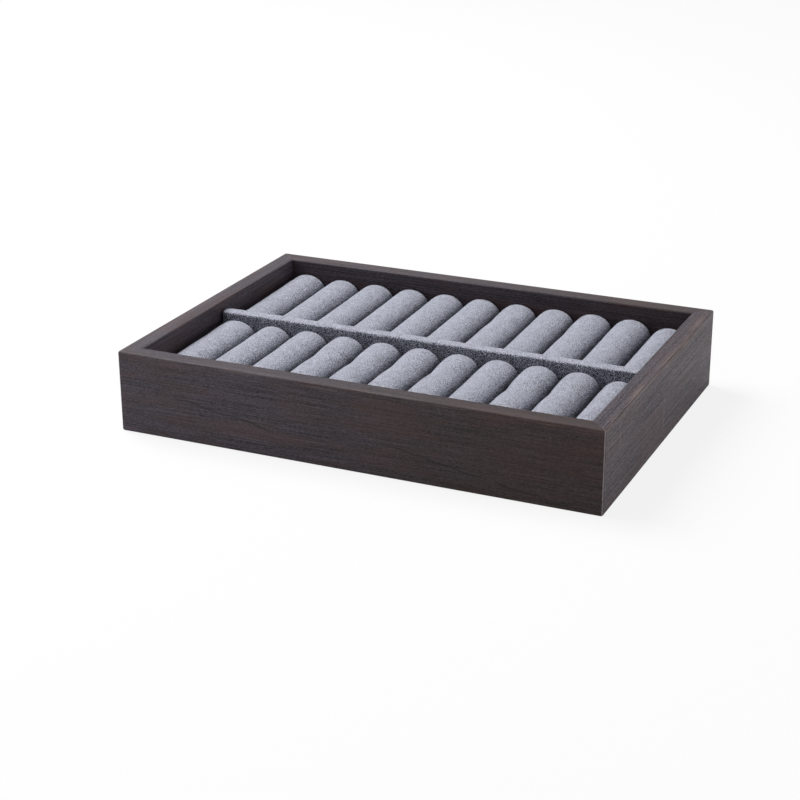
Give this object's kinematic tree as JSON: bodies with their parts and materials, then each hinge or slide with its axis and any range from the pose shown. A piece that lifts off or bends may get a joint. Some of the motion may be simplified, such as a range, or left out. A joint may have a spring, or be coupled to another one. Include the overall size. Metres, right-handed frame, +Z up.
{
  "type": "jewelry tray",
  "caption": "Shallow wooden tray with mitred walls, a lined base, a velvet divider and rows of velvet rolls that hold rings in the gaps between them.",
  "frame": {"origin": "middle of the underside", "axes": "+X along the rows of rolls to the right, +Y to the back, +Z up"},
  "size_m": [0.24, 0.17, 0.04],
  "materials": {
    "frame_wood": "satin",
    "inner_board": "matte",
    "velvet": "matte",
    "foam": "matte"
  },
  "bodies": {
    "tray": {"front_wall": "frame_wood", "right_wall": "frame_wood", "back_wall": "frame_wood", "left_wall": "frame_wood", "base_board": "inner_board", "base_lining": "velvet", "divider_board": "inner_board", "divider_wrap": "velvet"},
    "front_roll_01": {"front_roll_01_cover": "velvet", "front_roll_01_core": "foam"},
    "front_roll_02": {"front_roll_02_cover": "velvet", "front_roll_02_core": "foam"},
    "front_roll_03": {"front_roll_03_cover": "velvet", "front_roll_03_core": "foam"},
    "front_roll_04": {"front_roll_04_cover": "velvet", "front_roll_04_core": "foam"},
    "front_roll_05": {"front_roll_05_cover": "velvet", "front_roll_05_core": "foam"},
    "front_roll_06": {"front_roll_06_cover": "velvet", "front_roll_06_core": "foam"},
    "front_roll_07": {"front_roll_07_cover": "velvet", "front_roll_07_core": "foam"},
    "front_roll_08": {"front_roll_08_cover": "velvet", "front_roll_08_core": "foam"},
    "front_roll_09": {"front_roll_09_cover": "velvet", "front_roll_09_core": "foam"},
    "front_roll_10": {"front_roll_10_cover": "velvet", "front_roll_10_core": "foam"},
    "front_roll_11": {"front_roll_11_cover": "velvet", "front_roll_11_core": "foam"},
    "rear_roll_01": {"rear_roll_01_cover": "velvet", "rear_roll_01_core": "foam"},
    "rear_roll_02": {"rear_roll_02_cover": "velvet", "rear_roll_02_core": "foam"},
    "rear_roll_03": {"rear_roll_03_cover": "velvet", "rear_roll_03_core": "foam"},
    "rear_roll_04": {"rear_roll_04_cover": "velvet", "rear_roll_04_core": "foam"},
    "rear_roll_05": {"rear_roll_05_cover": "velvet", "rear_roll_05_core": "foam"},
    "rear_roll_06": {"rear_roll_06_cover": "velvet", "rear_roll_06_core": "foam"},
    "rear_roll_07": {"rear_roll_07_cover": "velvet", "rear_roll_07_core": "foam"},
    "rear_roll_08": {"rear_roll_08_cover": "velvet", "rear_roll_08_core": "foam"},
    "rear_roll_09": {"rear_roll_09_cover": "velvet", "rear_roll_09_core": "foam"},
    "rear_roll_10": {"rear_roll_10_cover": "velvet", "rear_roll_10_core": "foam"},
    "rear_roll_11": {"rear_roll_11_cover": "velvet", "rear_roll_11_core": "foam"}
  },
  "joints": [
    {"name": "front_roll_01_lift", "type": "slide", "parent": "tray", "child": "front_roll_01", "axis": [0, 0, 1], "range_m": [0, 0.045]},
    {"name": "front_roll_02_lift", "type": "slide", "parent": "tray", "child": "front_roll_02", "axis": [0, 0, 1], "range_m": [0, 0.045]},
    {"name": "front_roll_03_lift", "type": "slide", "parent": "tray", "child": "front_roll_03", "axis": [0, 0, 1], "range_m": [0, 0.045]},
    {"name": "front_roll_04_lift", "type": "slide", "parent": "tray", "child": "front_roll_04", "axis": [0, 0, 1], "range_m": [0, 0.045]},
    {"name": "front_roll_05_lift", "type": "slide", "parent": "tray", "child": "front_roll_05", "axis": [0, 0, 1], "range_m": [0, 0.045]},
    {"name": "front_roll_06_lift", "type": "slide", "parent": "tray", "child": "front_roll_06", "axis": [0, 0, 1], "range_m": [0, 0.045]},
    {"name": "front_roll_07_lift", "type": "slide", "parent": "tray", "child": "front_roll_07", "axis": [0, 0, 1], "range_m": [0, 0.045]},
    {"name": "front_roll_08_lift", "type": "slide", "parent": "tray", "child": "front_roll_08", "axis": [0, 0, 1], "range_m": [0, 0.045]},
    {"name": "front_roll_09_lift", "type": "slide", "parent": "tray", "child": "front_roll_09", "axis": [0, 0, 1], "range_m": [0, 0.045]},
    {"name": "front_roll_10_lift", "type": "slide", "parent": "tray", "child": "front_roll_10", "axis": [0, 0, 1], "range_m": [0, 0.045]},
    {"name": "front_roll_11_lift", "type": "slide", "parent": "tray", "child": "front_roll_11", "axis": [0, 0, 1], "range_m": [0, 0.045]},
    {"name": "rear_roll_01_lift", "type": "slide", "parent": "tray", "child": "rear_roll_01", "axis": [0, 0, 1], "range_m": [0, 0.045]},
    {"name": "rear_roll_02_lift", "type": "slide", "parent": "tray", "child": "rear_roll_02", "axis": [0, 0, 1], "range_m": [0, 0.045]},
    {"name": "rear_roll_03_lift", "type": "slide", "parent": "tray", "child": "rear_roll_03", "axis": [0, 0, 1], "range_m": [0, 0.045]},
    {"name": "rear_roll_04_lift", "type": "slide", "parent": "tray", "child": "rear_roll_04", "axis": [0, 0, 1], "range_m": [0, 0.045]},
    {"name": "rear_roll_05_lift", "type": "slide", "parent": "tray", "child": "rear_roll_05", "axis": [0, 0, 1], "range_m": [0, 0.045]},
    {"name": "rear_roll_06_lift", "type": "slide", "parent": "tray", "child": "rear_roll_06", "axis": [0, 0, 1], "range_m": [0, 0.045]},
    {"name": "rear_roll_07_lift", "type": "slide", "parent": "tray", "child": "rear_roll_07", "axis": [0, 0, 1], "range_m": [0, 0.045]},
    {"name": "rear_roll_08_lift", "type": "slide", "parent": "tray", "child": "rear_roll_08", "axis": [0, 0, 1], "range_m": [0, 0.045]},
    {"name": "rear_roll_09_lift", "type": "slide", "parent": "tray", "child": "rear_roll_09", "axis": [0, 0, 1], "range_m": [0, 0.045]},
    {"name": "rear_roll_10_lift", "type": "slide", "parent": "tray", "child": "rear_roll_10", "axis": [0, 0, 1], "range_m": [0, 0.045]},
    {"name": "rear_roll_11_lift", "type": "slide", "parent": "tray", "child": "rear_roll_11", "axis": [0, 0, 1], "range_m": [0, 0.045]}
  ]
}
